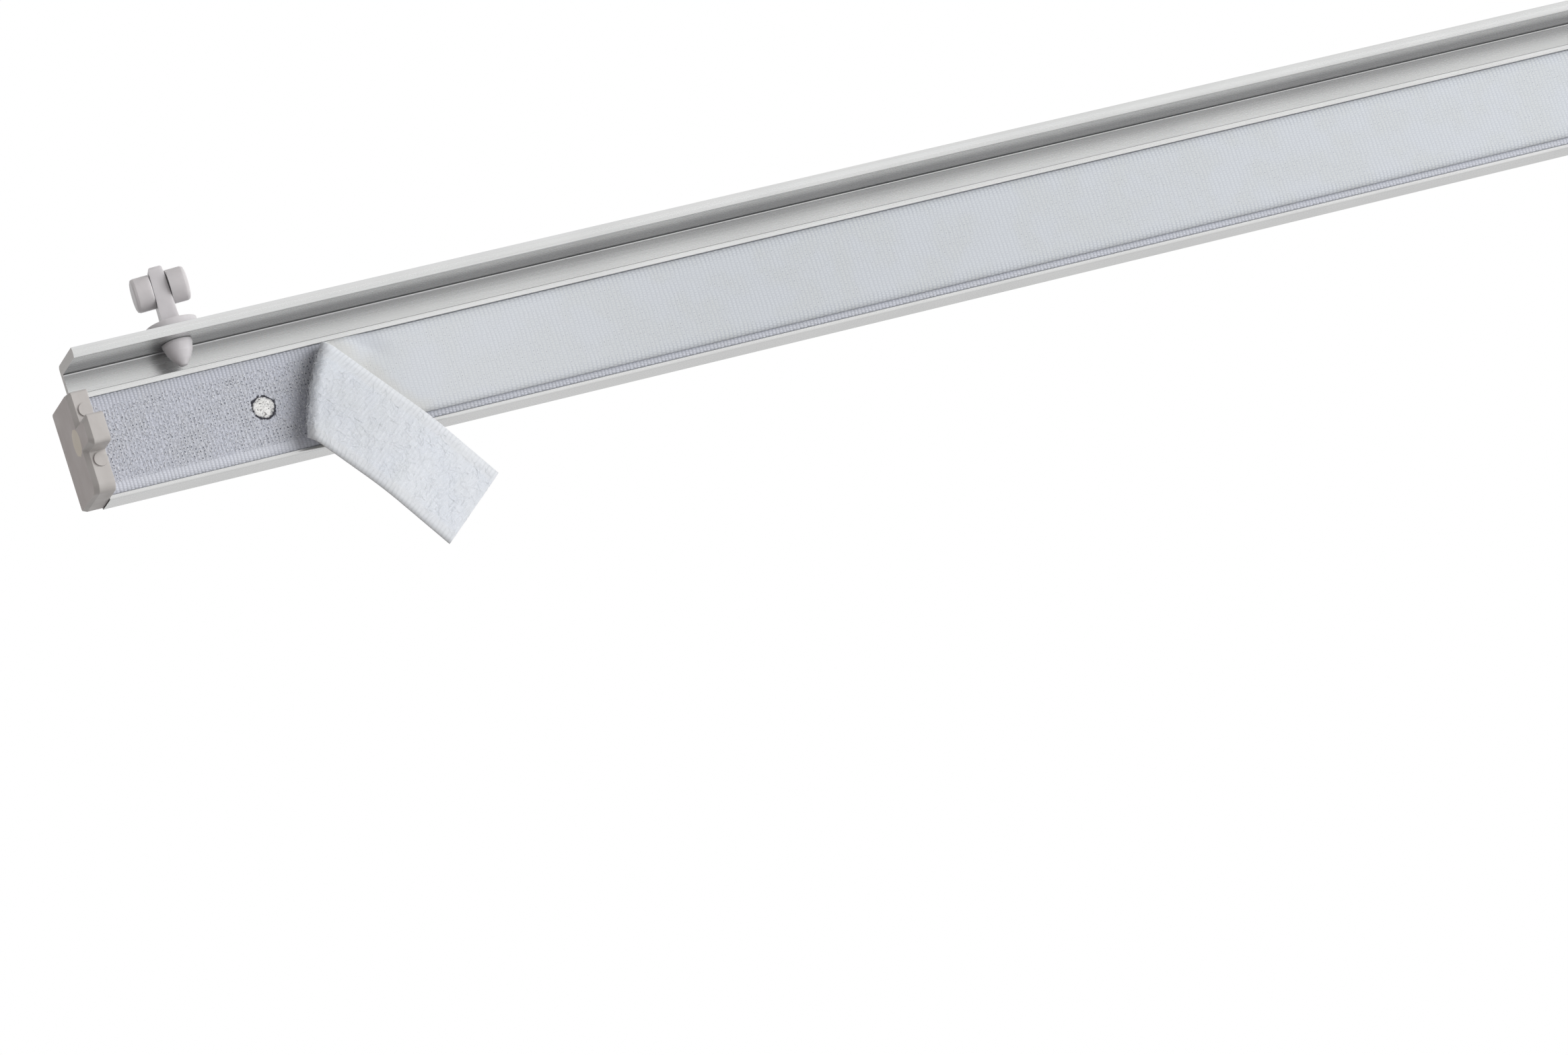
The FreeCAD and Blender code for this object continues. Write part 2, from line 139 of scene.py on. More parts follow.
class Shader:
    """A node tree with one Principled shader, and short calls that add and join nodes."""

    def __init__(self, name):
        self.material = bpy.data.materials.new(name)
        self.material.use_nodes = True
        self.tree = self.material.node_tree
        self.principled = self.tree.nodes["Principled BSDF"]
        self.position = self.add("ShaderNodeTexCoord").outputs["Object"]
        self.millimetres = self.vector("SCALE", self.position, scale=1000.0)

    def add(self, kind, **settings):
        node = self.tree.nodes.new(kind)
        for name, value in settings.items():
            setattr(node, name, value)
        return node

    def feed(self, socket, value):
        if isinstance(value, bpy.types.NodeSocket):
            self.tree.links.new(value, socket)
        else:
            socket.default_value = value

    def math(self, operation, first, second=0.0):
        node = self.add("ShaderNodeMath", operation=operation)
        self.feed(node.inputs[0], first)
        self.feed(node.inputs[1], second)
        return node.outputs[0]

    def plus(self, first, second):
        return self.math("ADD", first, second)

    def minus(self, first, second):
        return self.math("SUBTRACT", first, second)

    def times(self, first, second):
        return self.math("MULTIPLY", first, second)

    def over(self, first, second):
        return self.math("DIVIDE", first, second)

    def larger(self, first, second):
        return self.math("MAXIMUM", first, second)

    def smaller(self, first, second):
        return self.math("MINIMUM", first, second)

    def absolute(self, value):
        return self.math("ABSOLUTE", value)

    def vector(self, operation, first, second=(0, 0, 0), scale=1.0):
        node = self.add("ShaderNodeVectorMath", operation=operation)
        self.feed(node.inputs[0], first)
        if operation == "SCALE":
            self.feed(node.inputs["Scale"], scale)
        else:
            self.feed(node.inputs[1], second)
        return node.outputs["Value" if operation in ("DOT_PRODUCT", "LENGTH") else "Vector"]

    def split(self, vector):
        node = self.add("ShaderNodeSeparateXYZ")
        self.feed(node.inputs[0], vector)
        return node.outputs[0], node.outputs[1], node.outputs[2]

    def join(self, x, y, z):
        node = self.add("ShaderNodeCombineXYZ")
        for socket, value in zip(node.inputs, (x, y, z)):
            self.feed(socket, value)
        return node.outputs[0]

    def noise(self, scale, detail=2.0, roughness=0.5, stretch=(1, 1, 1), vector=None):
        """Noise from 0 to 1 whose scale counts features per millimetre."""
        node = self.add("ShaderNodeTexNoise")
        source = self.millimetres if vector is None else vector
        self.feed(node.inputs["Vector"], self.vector("MULTIPLY", source, stretch))
        node.inputs["Scale"].default_value = scale
        node.inputs["Detail"].default_value = detail
        node.inputs["Roughness"].default_value = roughness
        return node.outputs["Fac"]

    def ramp(self, value, low, high, to_low=0.0, to_high=1.0, smooth=True):
        node = self.add("ShaderNodeMapRange")
        node.interpolation_type = "SMOOTHSTEP" if smooth else "LINEAR"
        for socket, number in zip(node.inputs, (value, low, high, to_low, to_high)):
            self.feed(socket, number)
        return node.outputs[0]

    def mix(self, factor, first, second):
        node = self.add("ShaderNodeMix", data_type="RGBA", blend_type="MIX")
        node.clamp_factor = True
        self.feed(node.inputs[0], factor)
        self.feed(node.inputs[6], first)
        self.feed(node.inputs[7], second)
        return node.outputs[2]

    def bump(self, height, distance, strength=1.0, normal=None):
        """Height in millimetres."""
        node = self.add("ShaderNodeBump")
        self.feed(node.inputs["Height"], height)
        node.inputs["Distance"].default_value = distance * MM
        node.inputs["Strength"].default_value = strength
        if normal is not None:
            self.feed(node.inputs["Normal"], normal)
        return node.outputs["Normal"]

    def weave_place(self):
        """Where a point is on a woven tape, in millimetres along it and across it from its upper edge."""
        along, across, _ = self.split(self.add("ShaderNodeUVMap", uv_map="weave").outputs["UV"])
        return along, across

    def sway(self, noise, width):
        """Noise made to lie about zero, with this width."""
        return self.times(self.minus(noise, 0.5), width)

    def tint_so_far(self):
        return self.principled.inputs["Base Color"].links[0].from_socket

    def face_direction(self):
        """The surface's normal in the object's own axes."""
        node = self.add("ShaderNodeVectorTransform")
        node.vector_type = "NORMAL"
        node.convert_from = "WORLD"
        node.convert_to = "OBJECT"
        self.feed(node.inputs[0], self.add("ShaderNodeNewGeometry").outputs["True Normal"])
        return node.outputs[0]

    def glow_through(self, weight, radius):
        """Light that spreads inside the material, over about this radius in millimetres."""
        self.principled.inputs["Subsurface Weight"].default_value = weight
        self.principled.inputs["Subsurface Radius"].default_value = (radius * MM, radius * MM, radius * MM)
        self.principled.inputs["Subsurface Scale"].default_value = 1.0

    def set(self, **values):
        for name, value in values.items():
            self.feed(self.principled.inputs[name.replace("_", " ")], value)
        return self


def colour(red, green, blue):
    return (red, green, blue, 1.0)


# Materials

def rail_material():
    """Satin lacquered extrusion with die lines along X, and bare saw marks on its two cut ends.
    Painted shade darkens the flange's underside towards the wall behind it, and the cut ends towards their
    bottom."""
    shader = Shader("satin_rail")
    lines = shader.noise(9.0, 3.0, 0.6, (0.0015, 1, 1))
    streaks = shader.noise(1.6, 2.0, 0.5, (0.004, 1, 1))
    mottle = shader.noise(0.05, 2.0, 0.5)
    grain = shader.noise(7.0, 2.0, 0.6)
    coat = shader.mix(shader.ramp(streaks, 0.3, 0.7), colour(0.675, 0.68, 0.675),
                      colour(0.71, 0.715, 0.715))
    coat = shader.mix(shader.ramp(mottle, 0.35, 0.7, 0.0, 0.35), coat, colour(0.60, 0.605, 0.605))
    saw = shader.noise(5.0, 3.0, 0.65, (1, 0.6, 3.5))
    bare = shader.mix(shader.ramp(saw, 0.3, 0.7), colour(0.34, 0.325, 0.31), colour(0.50, 0.485, 0.47))
    _, depth, height = shader.split(shader.millimetres)
    # Painted shade: the cut ends turn near black towards their bottom, beside the end caps
    low = shader.ramp(height, TOP - SAW_DARK_DROP, TOP - SAW_BRIGHT_DROP, 1.0, 0.0)
    bare = shader.mix(low, bare, colour(0.05, 0.042, 0.04))
    facing = shader.split(shader.face_direction())
    # Painted shade: the flange's underside darkens towards the wall behind it
    under = shader.times(shader.ramp(height, TOP - UNDER_SHADE_DROP - 0.5, TOP - UNDER_SHADE_DROP),
                         shader.ramp(facing[2], -0.9, -0.5, 1.0, 0.0))
    under_flange_shade = shader.times(under, shader.ramp(depth, FRONT + UNDER_SHADE_FROM, FRONT + UNDER_SHADE_FULL, 0.0, 0.8))
    coat = shader.mix(under_flange_shade, coat, colour(0.15, 0.15, 0.16))
    cut_end = shader.ramp(shader.absolute(facing[0]), 0.85, 0.95)
    relief = shader.plus(shader.times(lines, 0.7), shader.times(grain, 0.1))
    relief = shader.plus(relief, shader.times(shader.times(saw, cut_end), 3.0))
    roughness = shader.plus(shader.ramp(streaks, 0.25, 0.75, 0.25, 0.29), shader.times(cut_end, 0.12))
    shader.set(Base_Color=shader.mix(cut_end, coat, bare),
               Metallic=shader.ramp(cut_end, 0.0, 1.0, 0.8, 0.35),
               Roughness=roughness, Normal=shader.bump(relief, 0.004, 0.15))
    return shader.material


def plastic_material(name, base, shade, roughness, depth, radius):
    """Slightly translucent moulded plastic with faint flow marks and a fine, dull grain."""
    shader = Shader(name)
    flow = shader.noise(0.35, 3.0, 0.55, (1, 1, 0.6))
    grain = shader.noise(7.0, 2.0, 0.6)
    tint = shader.mix(shader.ramp(flow, 0.3, 0.75), base, shade)
    shader.set(Base_Color=tint, Roughness=shader.ramp(flow, 0.2, 0.8, roughness - 0.05, roughness + 0.07),
               Normal=shader.bump(grain, 0.012, 0.3))
    shader.glow_through(depth, radius)
    return shader


def cap_material():
    """The end caps' warm light grey. Their end faces carry painted shade, darker and warmer, and painted
    light that glows through the pocket's thin skin as a lighter, yellower disc.
    """
    shader = plastic_material("satin_cap", colour(0.53, 0.51, 0.495), colour(0.49, 0.47, 0.455),
                              roughness=0.42, depth=0.3, radius=0.8)
    _, y, z = shader.split(shader.millimetres)
    from_middle = shader.join(shader.minus(y, POCKET_Y), shader.minus(z, POCKET_Z), 0.0)
    ragged = shader.sway(shader.noise(0.9, 2.0), 0.7)
    # Painted light: a lighter, yellower disc on the end faces over the pocket, glowing through its thin
    # skin
    painted_glow_disc = shader.ramp(shader.plus(shader.vector("LENGTH", from_middle), ragged),
                       POCKET_RADIUS - 0.4, POCKET_RADIUS - 0.1, 1.0, 0.0)
    outward = shader.absolute(shader.split(shader.face_direction())[0])
    end_face = shader.ramp(outward, 0.9, 0.97)
    painted_glow_disc = shader.times(painted_glow_disc, end_face)
    # Painted shade: the outer end faces are made darker and warmer
    tint = shader.mix(shader.times(end_face, 0.9), shader.tint_so_far(), colour(0.455, 0.405, 0.388))
    shader.set(Base_Color=shader.mix(shader.times(painted_glow_disc, 0.8), tint, colour(0.74, 0.665, 0.53)))
    return shader.material


def rivet_material():
    """Bright, crumpled aluminium, with painted shade in the hollows of its dents."""
    shader = Shader("crumpled_aluminium")
    dents = shader.noise(2.0, 3.0, 0.75)
    fine = shader.noise(9.0, 2.0, 0.6)
    # Painted shade: dark in the hollows of the dents, and a little on their tops
    dent_shade = shader.plus(shader.ramp(dents, 0.38, 0.44, 1.0, 0.0), shader.ramp(dents, 0.56, 0.6, 0.0, 0.3))
    tint = shader.mix(dent_shade, colour(0.96, 0.955, 0.94), colour(0.16, 0.15, 0.15))
    height = shader.plus(dents, shader.times(fine, 0.4))
    shader.set(Base_Color=tint, Metallic=0.9, Roughness=shader.ramp(fine, 0.3, 0.7, 0.22, 0.42),
               Normal=shader.bump(height, 0.22, 0.9))
    return shader.material


def steel_material():
    shader = Shader("drawn_steel")
    lines = shader.noise(8.0, 2.0, 0.5, (1, 0.05, 1))
    shader.set(Base_Color=shader.mix(lines, colour(0.50, 0.50, 0.51), colour(0.62, 0.62, 0.63)),
               Metallic=0.9, Roughness=shader.ramp(lines, 0.3, 0.7, 0.25, 0.4),
               Normal=shader.bump(lines, 0.01, 0.5))
    return shader.material


def weave_beads(shader, along, across, rib_pitch, warp_pitch, bead_share):
    """Height of a ribbed weave from 0 to 1: ribs across the tape, which warp threads part into beads."""
    rib = shader.absolute(shader.math("SINE", shader.times(along, math.pi / rib_pitch)))
    row = shader.math("FLOOR", shader.over(along, rib_pitch))
    shifted = shader.plus(across, shader.times(row, warp_pitch / 2))
    bead = shader.absolute(shader.math("SINE", shader.times(shifted, math.pi / warp_pitch)))
    return shader.times(rib, shader.plus(shader.times(bead, bead_share), 1 - bead_share))


def pin_holes(shader, along, across, pitch_along, pitch_across, radius, share):
    """Small round dark holes, one in some of the cells of a grid, each off its cell's middle."""
    column = shader.math("FLOOR", shader.over(along, pitch_along))
    row = shader.math("FLOOR", shader.over(across, pitch_across))
    cell = shader.add("ShaderNodeTexWhiteNoise", noise_dimensions="2D")
    shader.feed(cell.inputs["Vector"], shader.join(column, row, 0.0))
    chance = cell.outputs["Value"]
    jitter = shader.split(cell.outputs["Color"])
    from_left = shader.minus(shader.over(along, pitch_along), column)
    from_low = shader.minus(shader.over(across, pitch_across), row)
    middle_x = shader.plus(shader.times(jitter[0], 0.10), 0.45)
    middle_y = shader.plus(shader.times(jitter[1], 0.10), 0.45)
    dx = shader.times(shader.minus(from_left, middle_x), pitch_along)
    dy = shader.times(shader.minus(from_low, middle_y), pitch_across)
    size = shader.times(shader.plus(jitter[2], 0.5), radius)
    near = shader.over(shader.vector("LENGTH", shader.join(dx, dy, 0.0)), size)
    hole = shader.ramp(near, 0.5, 1.3, 1.0, 0.0)
    return shader.times(hole, shader.math("LESS_THAN", chance, share))


def tape_material(name, width, light, gap, hole_shade, rib_pitch, field_edge, edge_contrast,
                  field_contrast, hole_share, hole_radius, specks, relief, bead_share=0.7):
    """A woven tape. Its UV holds millimetres: along the tape, and across it from its upper edge.
    Ribs and beads are plain in the selvages, and fainter in the field between them. Painted shade darkens
    the weave's valleys and small holes, and painted highlights speckle the field."""
    shader = Shader(name)
    along, across = shader.weave_place()
    flat = shader.join(along, across, 0.0)
    drift = shader.sway(shader.noise(0.35, 1.0, vector=flat), 0.5)
    beads = weave_beads(shader, shader.plus(along, drift), across, rib_pitch, WARP_PITCH, bead_share)
    fibre = shader.noise(4.5, 2.0, 0.6, vector=flat)
    mottle = shader.noise(1.3, 2.0, 0.6, vector=flat)
    patches = shader.noise(0.11, 2.0, 0.55, vector=flat)
    from_edge = shader.smaller(across, shader.minus(width, across))
    wander = shader.sway(shader.noise(0.5, 2.0, vector=flat), 0.8)
    field = shader.ramp(shader.plus(from_edge, wander), field_edge - 0.3, field_edge + 0.3)
    contrast = shader.ramp(field, 0.0, 1.0, edge_contrast, field_contrast, False)
    # Painted shade: the valleys between ribs and beads are darkened towards the gap colour
    valley = shader.times(shader.ramp(beads, 0.15, 0.75, 1.0, 0.0), contrast)
    holes = pin_holes(shader, along, across, rib_pitch, rib_pitch * 0.9, hole_radius, hole_share)
    holes = shader.times(shader.times(holes, field), shader.ramp(patches, 0.35, 0.6, 0.45, 1.0))
    warmer = colour(light[0] * 0.985, light[1] * 0.98, light[2] * 0.95)
    tint = shader.mix(shader.ramp(patches, 0.38, 0.62), light, warmer)
    tint = shader.mix(valley, tint, gap)
    # Random mottling, and painted highlights: small white glints speckle the field
    mottle_and_glints = shader.times(field, specks)
    tint = shader.mix(shader.times(shader.ramp(mottle, 0.4, 0.75), mottle_and_glints), tint, gap)
    tint = shader.mix(shader.ramp(fibre, 0.45, 0.75, 0.0, 0.25), tint, gap)
    painted_glints = shader.times(shader.ramp(fibre, 0.30, 0.38, 1.0, 0.0), mottle_and_glints)
    tint = shader.mix(painted_glints, tint, colour(0.95, 0.95, 0.96))
    # Painted shade in the weave's small holes
    tint = shader.mix(holes, tint, hole_shade)
    height = shader.plus(beads, shader.times(fibre, 0.35))
    height = shader.minus(height, shader.times(holes, 1.2))
    shader.set(Base_Color=tint, Roughness=0.78, Normal=shader.bump(height, relief, 0.7),
               Sheen_Weight=0.12, Sheen_Roughness=0.5, Specular_IOR_Level=0.3)
    return shader


def loop_face_material():
    """The brushed face: curly fibres, finer and flatter than those modelled, over a faint weave."""
    shader = tape_material("loop_face", LOOP_WIDTH, light=colour(0.65, 0.69, 0.75),
                           gap=colour(0.53, 0.565, 0.61), hole_shade=colour(0.60, 0.63, 0.67),
                           rib_pitch=LOOP_RIB, field_edge=1.9, edge_contrast=1.0, field_contrast=0.06,
                           hole_share=0.0, hole_radius=0.08, specks=0.1, relief=0.05, bead_share=0.1)
    along, across = shader.weave_place()
    curls = 0.0
    for layer, scale in enumerate((0.7, 1.0, 1.35, 1.8)):
        field = shader.noise(scale, 2.0, 0.6, vector=shader.join(along, across, 7.0 * layer + 3.0))
        line = shader.ramp(shader.absolute(shader.minus(field, 0.5)), 0.0, 0.02, 1.0, 0.0)
        curls = shader.larger(curls, line)
    from_edge = shader.smaller(across, shader.minus(LOOP_WIDTH, across))
    curls = shader.times(curls, shader.ramp(from_edge, 1.2, 3.2, 0.15, 1.0))
    patches = shader.noise(0.12, 2.0, vector=shader.join(along, across, 1.0))
    tint = shader.mix(shader.ramp(patches, 0.35, 0.65, 0.0, 0.6), shader.tint_so_far(),
                      colour(0.69, 0.725, 0.775))
    tint = shader.mix(shader.ramp(from_edge, 2.0, 3.0, 0.3, 0.0), tint, colour(0.66, 0.665, 0.66))
    woven = shader.principled.inputs["Normal"].links[0].from_socket
    shader.set(Base_Color=shader.mix(shader.times(curls, 0.4), tint, colour(0.86, 0.90, 0.96)),
               Normal=shader.bump(curls, 0.03, 0.5, woven))
    shader.glow_through(0.5, 1.4)
    return shader.material


def loop_back_material():
    """The woven back. Beside the free end it carries painted light, lighter with a yellowish tinge, and
    painted shade in a band where it rises towards the fold.
    """
    shader = tape_material("loop_back", LOOP_WIDTH, light=colour(0.555, 0.585, 0.62),
                           gap=colour(0.43, 0.455, 0.495), hole_shade=colour(0.44, 0.465, 0.50),
                           rib_pitch=LOOP_RIB, field_edge=1.9, edge_contrast=0.8, field_contrast=0.5,
                           hole_share=0.6, hole_radius=0.085, specks=0.05, relief=0.05)
    along, across = shader.weave_place()
    from_end = shader.minus(shader.times(shader.minus(along, SHADE_START), math.cos(SHADE_SLANT)),
                            shader.times(across, math.sin(SHADE_SLANT)))
    from_end = shader.plus(from_end, shader.sway(shader.noise(0.25, 2.0), 4.0))
    # Painted light: the run is made lighter towards the free end, over the shade it casts
    painted_light_patch = shader.ramp(along, 60.0, 150.0, 0.25, 0.0)
    tint = shader.mix(painted_light_patch, shader.tint_so_far(), colour(0.83, 0.86, 0.90))
    # Painted light: a yellowish tinge beside the free end's edge, standing for light it throws back onto
    # the run
    yellow = shader.times(shader.ramp(from_end, 1.0, 5.0, 0.6, 0.0),
                          shader.ramp(along, 80.0, 110.0, 1.0, 0.0))
    tint = shader.mix(yellow, tint, colour(0.60, 0.60, 0.575))
    # Painted shade: a darker, bluer band where the run rises towards the fold
    rise_shade = shader.times(shader.ramp(from_end, 4.5, 6.5), shader.ramp(from_end, 7.0, 11.0, 1.0, 0.0))
    rise_shade = shader.times(rise_shade, shader.ramp(across, 1.0, 8.0, 0.3, 0.0))
    shader.set(Base_Color=shader.mix(rise_shade, tint, colour(0.38, 0.40, 0.44)))
    return shader.material


def hook_weave_material():
    """The hook tape's weave, with painted light on its bottom selvage, and painted shade in the dark,
    ragged gap round the rivet's head.
    """
    shader = tape_material("hook_weave", HOOK_WIDTH, light=colour(0.54, 0.56, 0.625),
                           gap=colour(0.37, 0.39, 0.44), hole_shade=colour(0.10, 0.11, 0.14),
                           rib_pitch=HOOK_RIB, field_edge=HOOK_SELVAGE, edge_contrast=0.8,
                           field_contrast=0.4, hole_share=0.78, hole_radius=0.115, specks=0.7,
                           relief=0.08)
    _, across = shader.weave_place()
    inner_edge = HOOK_WIDTH - HOOK_SELVAGE
    # Painted light: the bottom selvage is made lighter and bluer where the loop tape's edge shades it
    lit_bottom_selvage = shader.ramp(across, inner_edge - 0.3, inner_edge + 0.3, 0.0, 0.2)
    tint = shader.mix(lit_bottom_selvage, shader.tint_so_far(), colour(0.90, 0.93, 1.0))
    x, _, z = shader.split(shader.millimetres)
    from_rivet = shader.join(shader.minus(x, LEFT + RIVET_X), shader.minus(z, TOP - RIVET_DROP), 0.0)
    ragged = shader.sway(shader.noise(1.1, 2.0, 0.7), 1.6)
    # Painted shade: a near-black ragged ring in the gap round the rivet's head
    gap = shader.ramp(shader.plus(shader.vector("LENGTH", from_rivet), ragged),
                      RIVET_CLEARANCE - 0.3, RIVET_CLEARANCE, 1.0, 0.0)
    shader.set(Base_Color=shader.mix(gap, tint, colour(0.035, 0.035, 0.045)))
    return shader.material


def nylon_material(name, tint, roughness):
    """Clear-white monofilament, for the hooks and loose fibres."""
    shader = Shader(name)
    vary = shader.noise(0.8, 1.0)
    darker = (tint[0] * 0.93, tint[1] * 0.93, tint[2] * 0.94, 1.0)
    shader.set(Base_Color=shader.mix(vary, tint, darker), Roughness=roughness)
    return shader.material


def paint(obj, *materials):
    obj.data.materials.clear()
    for material in materials:
        obj.data.materials.append(material)


def soften(obj, width, degrees):
    """Rounds the moulding's edges that are sharper than this angle."""
    bevel = obj.modifiers.new("soft_edges", "BEVEL")
    bevel.width = width * MM
    bevel.segments = 3
    bevel.limit_method = "ANGLE"
    bevel.angle_limit = math.radians(degrees)


def smooth_by_angle(obj, degrees):
    """Smooth shading that keeps edges sharper than this angle."""
    for polygon in obj.data.polygons:
        polygon.use_smooth = True
    obj.data.set_sharp_from_angle(angle=math.radians(degrees))
    modifier = obj.modifiers.new("even_normals", "WEIGHTED_NORMAL")
    modifier.keep_sharp = True


def dress_cad_nodes():
    rail = rail_material()
    cap = cap_material()
    moulding = plastic_material("milky_moulding", colour(0.60, 0.585, 0.60), colour(0.56, 0.545, 0.56),
                                roughness=0.36, depth=0.7, radius=2.4).material
    roller = plastic_material("milky_roller", colour(0.60, 0.58, 0.59), colour(0.56, 0.545, 0.555),
                              roughness=0.40, depth=0.7, radius=2.4).material
    steel = steel_material()
    rivet = rivet_material()
    for name, node in nodes.items():
        if name == "rail":
            paint(node, rail)
            smooth_by_angle(node, 50)
        elif name.startswith("end_cap"):
            paint(node, cap)
            soften(node, 0.3, 30)
            smooth_by_angle(node, 60)
        elif name.startswith("glider_body"):
            paint(node, moulding)
            soften(node, 0.25, 38)
            smooth_by_angle(node, 60)
        elif name.startswith("roller"):
            paint(node, roller)
            smooth_by_angle(node, 50)
        elif name.startswith("axle"):
            paint(node, steel)
            smooth_by_angle(node, 40)
        elif name.startswith("tape_rivet"):
            paint(node, rivet)
            smooth_by_angle(node, 40)


dress_cad_nodes()


# Woven tapes: closed ribbons with ribs, mapped from (run along the tape, across, lift off its middle)

def ribbon(name, columns, rows, width, faces, where):
    """A closed tape: faces(run, across, side) gives the lift of its front or back, and
    where(run, across, lift) the point in metres. Its UV keeps run and across in millimetres."""
    step = width / rows
    ring = [(i * step, 1) for i in range(rows + 1)]
    ring += [((rows - i) * step, -1) for i in range(rows + 1)]
    count = len(ring)
    vertices, coordinates = [], []
    for run in columns:
        for across, side in ring:
            vertices.append(where(run, across, faces(run, across, side)))
            coordinates.append((run, across))
    polygons = []
    for column in range(len(columns) - 1):
        near, far = column * count, (column + 1) * count
        for i in range(count):
            j = (i + 1) % count
            polygons.append((near + i, near + j, far + j, far + i))
    last = (len(columns) - 1) * count
    for i in range(rows):
        other, before = 2 * rows + 1 - i, 2 * rows - i
        polygons.append((i, other, before, i + 1))
        polygons.append((last + i, last + i + 1, last + before, last + other))
    return mesh_object(name, vertices, polygons, coordinates)


def mesh_object(name, vertices, polygons, coordinates=None):
    mesh = bpy.data.meshes.new(name)
    mesh.from_pydata([tuple(vertex) for vertex in vertices], [], polygons)
    for polygon in mesh.polygons:
        polygon.use_smooth = True
    if coordinates is not None:
        layer = mesh.uv_layers.new(name="weave")
        for loop in mesh.loops:
            layer.data[loop.index].uv = coordinates[loop.vertex_index]
    obj = bpy.data.objects.new(name, mesh)
    bpy.context.scene.collection.objects.link(obj)
    return obj


def tubes(name, paths, radius, sides):
    """Thin round threads along the paths, all in one mesh, each closed with a flat cap at both ends."""
    vertices, polygons = [], []
    for path in paths:
        first = len(vertices)
        for index, middle in enumerate(path):
            after = path[min(index + 1, len(path) - 1)]
            before = path[max(index - 1, 0)]
            direction = (after - before).normalized()
            side = direction.orthogonal().normalized()
            other = direction.cross(side)
            for k in range(sides):
                turn = 2 * math.pi * k / sides
                vertices.append(middle + (side * math.cos(turn) + other * math.sin(turn)) * radius * MM)
        for index in range(len(path) - 1):
            low, high = first + index * sides, first + (index + 1) * sides
            for k in range(sides):
                polygons.append((low + k, low + (k + 1) % sides, high + (k + 1) % sides, high + k))
        polygons.append(tuple(first + k for k in reversed(range(sides))))
        polygons.append(tuple(first + (len(path) - 1) * sides + k for k in range(sides)))
    return mesh_object(name, vertices, polygons)


def spread(start, end, pitch, per_pitch):
    """Column places from start to end, with per_pitch of them to each pitch."""
    count = max(2, round((end - start) / pitch * per_pitch))
    return [start + (end - start) * i / count for i in range(count + 1)]


def rounded(across, width, reach, depth):
    """How far a tape's face falls off beside its two edges."""
    from_edge = min(across, width - across)
    return depth * math.exp(-from_edge / reach)


# Hook tape: ribbed selvages and a base in the channel, with single hooks where it lies bare

def hook_lift(run, across, side):
    if side < 0:
        return 0.0
    rib = 0.05 * abs(math.sin(math.pi * run / HOOK_RIB))
    lift = HOOK_BASE + HOOK_SELVAGE_RAISED + rib - rounded(across, HOOK_WIDTH, 0.15, 0.1)
    if min(across, HOOK_WIDTH - across) > HOOK_SELVAGE:
        if run > BARE_UNTIL - (across - HOOK_WIDTH / 2) * BARE_SLANT:
            lift = floor_depth - hook_tip_depth - 0.02 + 0.02 * math.sin(2 * math.pi * run / HOOK_RIB)
        else:
            lift -= HOOK_FIELD_SUNK
    return lift


def hook_place(run, across, lift):
    return place(run, floor_depth - lift, hook_top + across)


def make_hooks():
    """Monofilament crooks that stand up from the base, in rough rows, bent over in both directions."""
    rng = random.Random(11)
    paths = []
    down = HOOK_SELVAGE + 0.5
    while down < HOOK_WIDTH - HOOK_SELVAGE - 0.3:
        run = 1.2 + rng.uniform(0, 0.5)
        while run < BARE_UNTIL - (down - HOOK_WIDTH / 2) * BARE_SLANT - 1.0:
            x, drop = run + rng.uniform(-0.3, 0.3), down + rng.uniform(-0.22, 0.22)
            from_rivet = math.hypot(x - RIVET_X, hook_top + drop - RIVET_DROP)
            if from_rivet > RIVET_CLEARANCE and rng.random() < 0.9:
                paths.append(crook(x, drop, rng))
            run += CROOK_PITCH
        down += CROOK_ROW_PITCH
    return tubes("hook_crooks", paths, CROOK_RADIUS, 5)


def crook(x, across, rng):
    """One hook: its stem rises, bends over and points back down, turned and sized at random."""
    turn = rng.choice((0, math.pi)) + rng.uniform(-0.7, 0.7) + math.pi / 2
    reach_x, reach_z = math.cos(turn), math.sin(turn)
    size = rng.uniform(0.55, 0.85)
    profile = [(0, -0.1), (0.02, 0.25), (0.1, 0.55), (0.28, 0.76), (0.48, 0.74), (0.6, 0.56), (0.62, 0.4)]
    lean = rng.uniform(-0.25, 0.25)
    points = []
    for out, high in profile:
        high *= size
        depth = hook_base_front - CROOK_LEVEL - CROOK_FLATTENED * high
        points.append(place(x + out * size * reach_x + lean * high, depth,
                            hook_top + across - out * size * reach_z))
    return points


def make_hook_tape():
    columns = spread(HOOK_START, HOOK_END, HOOK_RIB, 4)
    tape = ribbon("hook_tape_woven", columns, HOOK_ROWS, HOOK_WIDTH, hook_lift, hook_place)
    tape.data.materials.append(hook_weave_material())
    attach(tape, "carrier")
    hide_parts("hook_tape")
    hooks = make_hooks()
    hooks.data.materials.append(nylon_material("hook_filament", colour(0.95, 0.96, 0.98), 0.3))
    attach(hooks, "carrier")


# Loop tape: its back woven in ribs, its face brushed loops. It folds over forward along a slanting line

